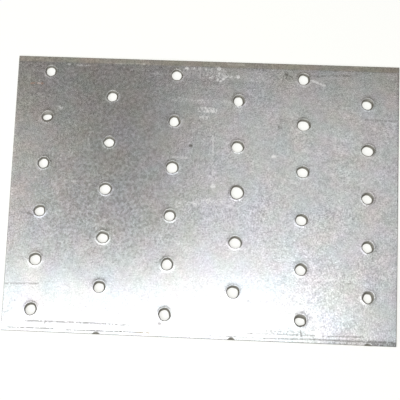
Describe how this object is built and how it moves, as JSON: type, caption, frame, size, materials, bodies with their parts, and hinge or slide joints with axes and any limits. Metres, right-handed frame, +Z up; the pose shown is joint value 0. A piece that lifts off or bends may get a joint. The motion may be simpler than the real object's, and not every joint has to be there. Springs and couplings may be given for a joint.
{
  "type": "mending plate",
  "caption": "Flat galvanised steel mending plate with staggered columns of nail holes, for nailing across a joint between two pieces of timber.",
  "frame": {"origin": "on the underside, below the middle of the plate's bounding box", "axes": "+X along the length, +Y across the width away from the edge that the punches nicked, +Z up out of the face that the punches entered"},
  "size_m": [0.1536, 0.1102, 0.002],
  "materials": {
    "zinc_coat": "galvanised: satin grey zinc with a fine grain and light handling scratches"
  },
  "bodies": {
    "root": {"plate": "zinc_coat"}
  },
  "joints": []
}
